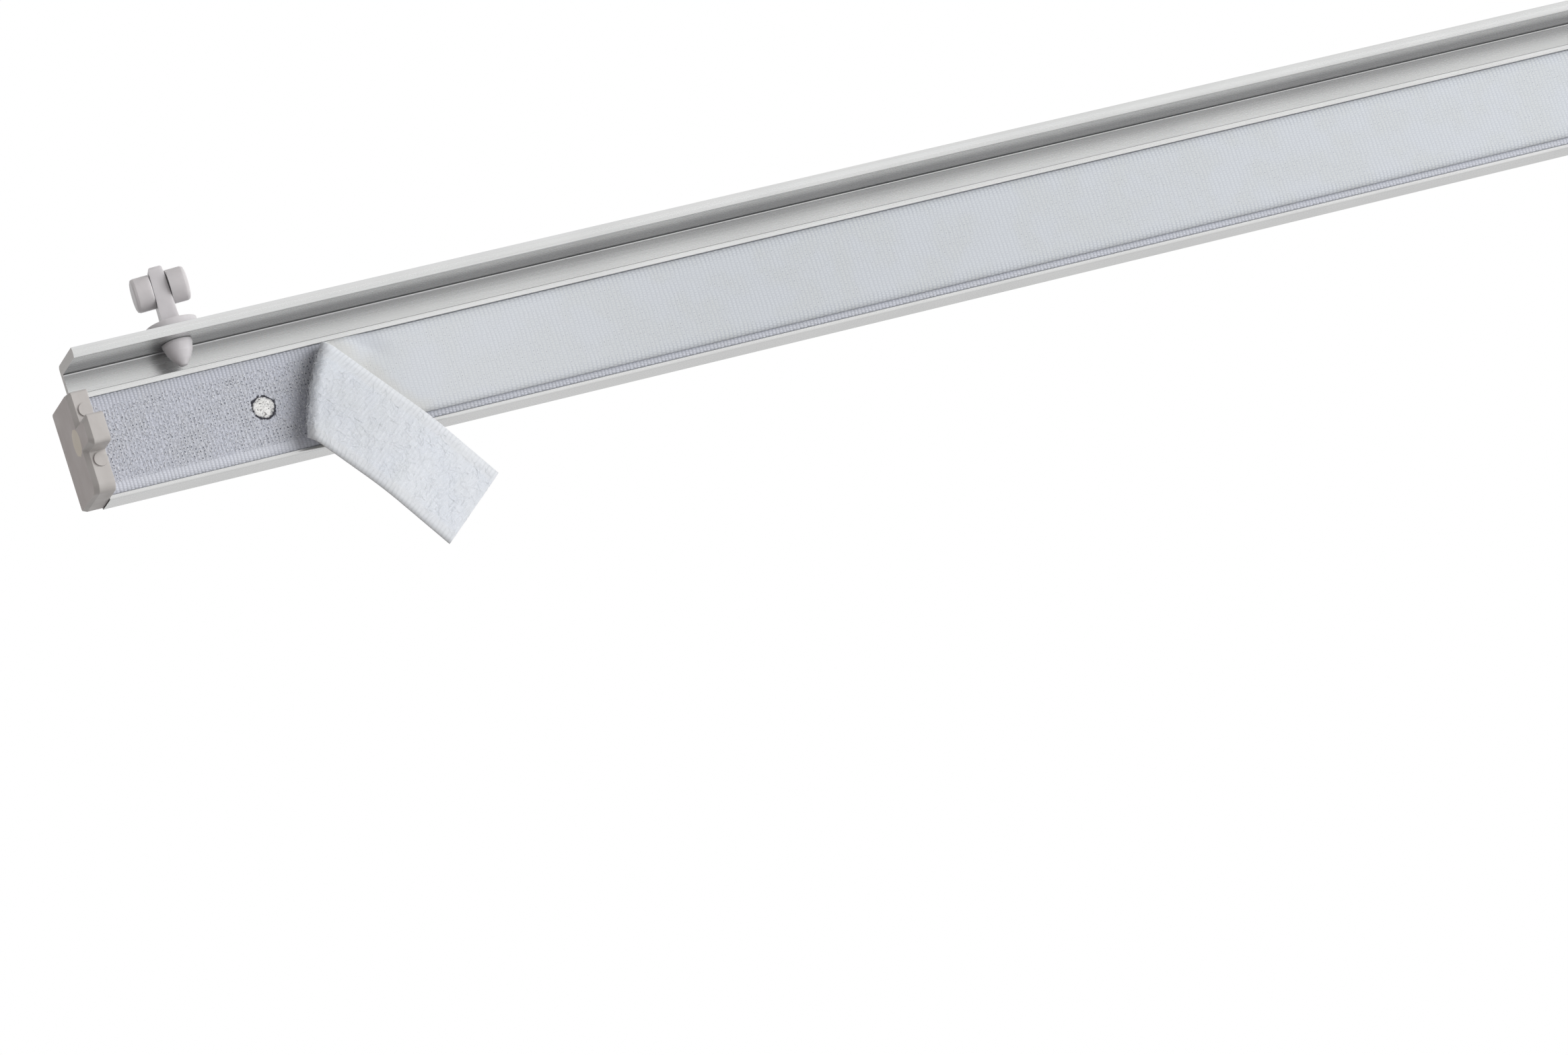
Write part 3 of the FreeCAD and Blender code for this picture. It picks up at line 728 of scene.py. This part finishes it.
def loop_place(run, across, lift):
    """The loop tape's point, where lift is out of its middle towards the looped face."""
    drop = LOOP_TOP + across
    turn = min(max((CURL_PLACE - run) / CURL_RADIUS, 0.0), CURL_ANGLE)
    past_curl = max(CURL_PLACE - run - CURL_RADIUS * CURL_ANGLE, 0.0)
    x = run
    if run <= CURL_PLACE:
        x = CURL_PLACE - (CURL_RADIUS + lift) * math.sin(turn) - past_curl * math.cos(turn)
    back = CURL_RADIUS * (1 - math.cos(turn)) + past_curl * math.sin(turn)
    sine, cosine = math.sin(FOLD_TILT), math.cos(FOLD_TILT)
    away = (x - FOLD_PLACE) * cosine + (drop - LOOP_MIDDLE) * sine
    along = (x - FOLD_PLACE) * sine - (drop - LOOP_MIDDLE) * cosine
    bend = min(max((FOLD_AXIS - away) / FOLD_RADIUS, 0.0), math.pi)
    before = max(away - FOLD_AXIS, 0.0)
    beyond = max(FOLD_AXIS - math.pi * FOLD_RADIUS - away, 0.0)
    radius = FOLD_RADIUS + lift * (math.cos(turn) if beyond > 0 else 1.0)
    fullness = 1 - (2 * across / LOOP_WIDTH - 1) ** 2
    bulge = FOLD_BULGE * fullness * math.sin(bend / 2) ** 2 * math.exp(-(beyond / 7) ** 2)
    settled = FOLD_AXIS - radius * math.sin(bend) + before + beyond - bulge
    near_fold = min(max(1 - (before - 1.5) / FOLD_LIFT_REACH, 0.0), 1.0)
    peeled = FOLD_LIFT * near_fold * near_fold * (3 - 2 * near_fold)
    depth = RUN_DEPTH - FOLD_RADIUS + radius * math.cos(bend) + back - peeled
    x = FOLD_PLACE + settled * cosine + along * sine
    rise = along * cosine - settled * sine
    return place(x, depth, LOOP_MIDDLE - rise)


def loop_lift(run, across, side):
    """The tape is thick where its loops lie in the hooks, and thin in the free end."""
    rib = 0.04 * abs(math.sin(math.pi * run / LOOP_RIB))
    if side < 0:
        pressed = min(max((run - THIN_FROM) / THIN_REACH, 0.0), 1.0)
        woven = -HALF_TAPE + 0.05 - rib + rounded(across, LOOP_WIDTH, 0.5, 0.35)
        return (1 - pressed) * (HALF_TAPE - FREE_THICKNESS) + pressed * woven
    if min(across, LOOP_WIDTH - across) < LOOP_SELVAGE:
        return HALF_TAPE - SELVAGE_SUNK - rounded(across, LOOP_WIDTH, 0.3, 0.08) + rib
    pile = 0.03 * math.sin(2.1 * run + 1.3 * across) + 0.02 * math.sin(4.7 * run - 3.1 * across)
    return HALF_TAPE - FACE_SUNK + pile


def make_loop_fibres():
    """Fine brushed loops on the free end's face, and longer stray ones at the fold."""
    rng = random.Random(5)
    paths = []
    for number in range(FACE_FIBRES + FOLD_FIBRES):
        at_fold = number >= FACE_FIBRES
        run = rng.uniform(43.5, 47.5) if at_fold else rng.uniform(LOOP_START + 0.2, 43)
        across = rng.uniform(2.5, LOOP_WIDTH - 3.0) if at_fold else rng.uniform(1.8, LOOP_WIDTH - 2.2)
        if at_fold:
            run += (LOOP_WIDTH / 2 - across) * math.tan(FOLD_TILT)
        heading = rng.uniform(0, 2 * math.pi)
        length = rng.uniform(1.6, 3.4) if at_fold else rng.uniform(1.2, 2.6)
        curve = rng.uniform(2.0, 4.5) * rng.choice((-1, 1)) if at_fold else rng.uniform(-1.6, 1.6)
        height = rng.uniform(0.2, 0.75) if at_fold else rng.uniform(0.02, 0.1)
        points = []
        for step in range(FIBRE_STEPS + 1):
            inside = min(max(across, 0.6), LOOP_WIDTH - 0.6)
            lift = HALF_TAPE - FACE_SUNK + height * math.sin(math.pi * step / FIBRE_STEPS)
            points.append(loop_place(max(run, LOOP_START), inside, lift))
            run += math.cos(heading) * length / FIBRE_STEPS
            across += math.sin(heading) * length / FIBRE_STEPS
            heading += curve / FIBRE_STEPS
        paths.append(points)
    return tubes("loop_fibres", paths, FIBRE_RADIUS, 3)


def make_loop_tape():
    columns = spread(LOOP_START, FOLD_END, LOOP_RIB, 4)[:-1] + spread(FOLD_END, LOOP_END, LOOP_RIB, 4)
    tape = ribbon("loop_tape_woven", columns, LOOP_ROWS, LOOP_WIDTH, loop_lift, loop_place)
    tape.data.materials.append(loop_back_material())
    tape.data.materials.append(loop_face_material())
    ring = 2 * (LOOP_ROWS + 1)
    for polygon in tape.data.polygons:
        on_face = min(polygon.vertices) % ring < LOOP_ROWS
        on_side = polygon.index < (len(columns) - 1) * ring
        polygon.material_index = 1 if on_face and on_side else 0
    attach(tape, "carrier")
    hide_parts("loop_tape")
    fibres = make_loop_fibres()
    fibres.data.materials.append(nylon_material("loop_filament", colour(0.95, 0.975, 1.0), 0.7))
    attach(fibres, "carrier")


def make_rivet():
    """The rivet that shows: its head is crumpled by the setting tool."""
    profile = [(0.0, 0.80), (0.25, 0.82), (0.5, 0.85), (0.75, 0.88), (1.0, 0.90), (1.25, 0.92),
               (1.5, 0.90), (1.75, 0.84), (1.95, 0.72), (2.1, 0.55), (2.2, 0.36), (2.25, 0.18),
               (2.1, 0.02), (1.2, 0.0), (1.2, -1.8), (1.9, -1.8), (1.9, -3.3), (0.0, -3.4)]
    vertices, polygons = [], []
    for radius, height in profile:
        for k in range(RIVET_SIDES):
            turn = 2 * math.pi * k / RIVET_SIDES
            x, z = radius * math.cos(turn), radius * math.sin(turn)
            crumple = 0.0
            if height > 0.1:
                crumple = (0.30 * noise.noise(Vector((x * 1.3, 7.7, z * 1.3)))
                           + 0.16 * noise.noise(Vector((x * 3.1, 3.1, z * 3.1))))
            wide = 1 + 0.12 * crumple
            vertices.append(place(RIVET_X + x * wide, hook_base_front - height - crumple,
                                  RIVET_DROP + z * wide))
    for level in range(len(profile) - 1):
        low, high = level * RIVET_SIDES, (level + 1) * RIVET_SIDES
        for k in range(RIVET_SIDES):
            j = (k + 1) % RIVET_SIDES
            polygons.append((low + k, high + k, high + j, low + j))
    polygons.append(tuple(range(RIVET_SIDES)))
    polygons.append(tuple(reversed(range(len(vertices) - RIVET_SIDES, len(vertices)))))
    rivet = mesh_object("rivet_crumpled", vertices, polygons)
    rivet.data.materials.append(rivet_material())
    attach(rivet, "carrier")
    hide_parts("tape_rivet_left")


make_hook_tape()
make_loop_tape()
make_rivet()


# Camera, light and surroundings, in metres

CAMERA_PLACE = (-0.64262, -1.19660, -0.32432)
CAMERA_RIGHT = (0.90370, -0.29389, -0.31137)
CAMERA_BACK = (-0.36190, -0.91292, -0.18870)
CAMERA_LENS = 150.26
KEY_PLACE = (0.80, -1.22, 0.02)
KEY_TARGET = (-0.12, 0, -0.02)
KEY_SIDE = 1.3
KEY_WATTS = 28.0
FLOOR_HEIGHT = -1.7
FLOOR_REACH = 12.0


def make_camera():
    """The photograph's view, from below and to the left of the rail's front."""
    right = Vector(CAMERA_RIGHT).normalized()
    back = Vector(CAMERA_BACK)
    back = (back - right * back.dot(right)).normalized()
    up = back.cross(right)
    camera = bpy.data.objects.new("camera", bpy.data.cameras.new("camera"))
    bpy.context.scene.collection.objects.link(camera)
    rotation = Matrix((right, up, back)).transposed()
    camera.matrix_world = Matrix.Translation(CAMERA_PLACE) @ rotation.to_4x4()
    camera.data.sensor_width = 36.0
    camera.data.lens = CAMERA_LENS
    camera.data.clip_start = 0.05
    camera.data.clip_end = 30.0
    bpy.context.scene.camera = camera


def make_key_light():
    """One large, soft light. Metal mirrors the white surroundings instead of it."""
    light = bpy.data.lights.new("key", "AREA")
    light.shape = "RECTANGLE"
    light.size = KEY_SIDE
    light.size_y = KEY_SIDE
    light.energy = KEY_WATTS
    light.color = (1, 1, 1)
    key = bpy.data.objects.new("key", light)
    bpy.context.scene.collection.objects.link(key)
    location = Vector(KEY_PLACE)
    aim = (Vector(KEY_TARGET) - location).to_track_quat("-Z", "Y")
    key.matrix_world = Matrix.Translation(location) @ aim.to_matrix().to_4x4()
    key.visible_camera = False
    key.visible_glossy = False


def make_world():
    """Dim, slightly warm light from all round. It is white where the camera or a mirrored ray sees it."""
    world = bpy.data.worlds.new("studio")
    bpy.context.scene.world = world
    world.use_nodes = True
    tree = world.node_tree
    tree.nodes.clear()
    output = tree.nodes.new("ShaderNodeOutputWorld")
    mix = tree.nodes.new("ShaderNodeMixShader")
    seen = tree.nodes.new("ShaderNodeBackground")
    around = tree.nodes.new("ShaderNodeBackground")
    path = tree.nodes.new("ShaderNodeLightPath")
    seen.inputs["Color"].default_value = colour(1, 1, 1)
    around.inputs["Color"].default_value = colour(0.355, 0.34, 0.335)
    shows = path.outputs["Is Camera Ray"]
    for kind in ("Is Glossy Ray", "Is Transmission Ray"):
        either = tree.nodes.new("ShaderNodeMath")
        either.operation = "MAXIMUM"
        tree.links.new(shows, either.inputs[0])
        tree.links.new(path.outputs[kind], either.inputs[1])
        shows = either.outputs[0]
    tree.links.new(shows, mix.inputs[0])
    tree.links.new(around.outputs[0], mix.inputs[1])
    tree.links.new(seen.outputs[0], mix.inputs[2])
    tree.links.new(mix.outputs[0], output.inputs[0])


def floor_material():
    """Pale floor that keeps the object's shadow. Mirrored rays see it plain, and greyer to the back."""
    shader = Shader("pale_floor")
    shader.set(Base_Color=shader.mix(shader.noise(0.002, 2.0), colour(0.88, 0.88, 0.88),
                                     colour(0.84, 0.84, 0.84)), Roughness=0.7)
    path = shader.add("ShaderNodeLightPath").outputs
    plain = shader.larger(path["Is Glossy Ray"], path["Is Transmission Ray"])
    plain = shader.larger(plain, shader.times(path["Is Camera Ray"], 0.6))
    pale = shader.add("ShaderNodeEmission")
    shader.feed(pale.inputs["Color"],
                shader.ramp(shader.split(shader.millimetres)[1], -2000.0, 2000.0, 1.0, 0.82))
    either = shader.add("ShaderNodeMixShader")
    shader.feed(either.inputs[0], plain)
    shader.feed(either.inputs[1], shader.principled.outputs[0])
    shader.feed(either.inputs[2], pale.outputs[0])
    shader.feed(shader.tree.nodes["Material Output"].inputs["Surface"], either.outputs[0])
    return shader.material


def make_floor():
    corners = [(-1, -1), (1, -1), (1, 1), (-1, 1)]
    mesh = bpy.data.meshes.new("floor")
    mesh.from_pydata([(x * FLOOR_REACH, y * FLOOR_REACH, FLOOR_HEIGHT) for x, y in corners], [],
                     [(0, 1, 2, 3)])
    mesh.materials.append(floor_material())
    floor = bpy.data.objects.new("floor", mesh)
    bpy.context.scene.collection.objects.link(floor)


make_camera()
make_world()
make_floor()
make_key_light()

bpy.context.scene.view_settings.view_transform = "Standard"
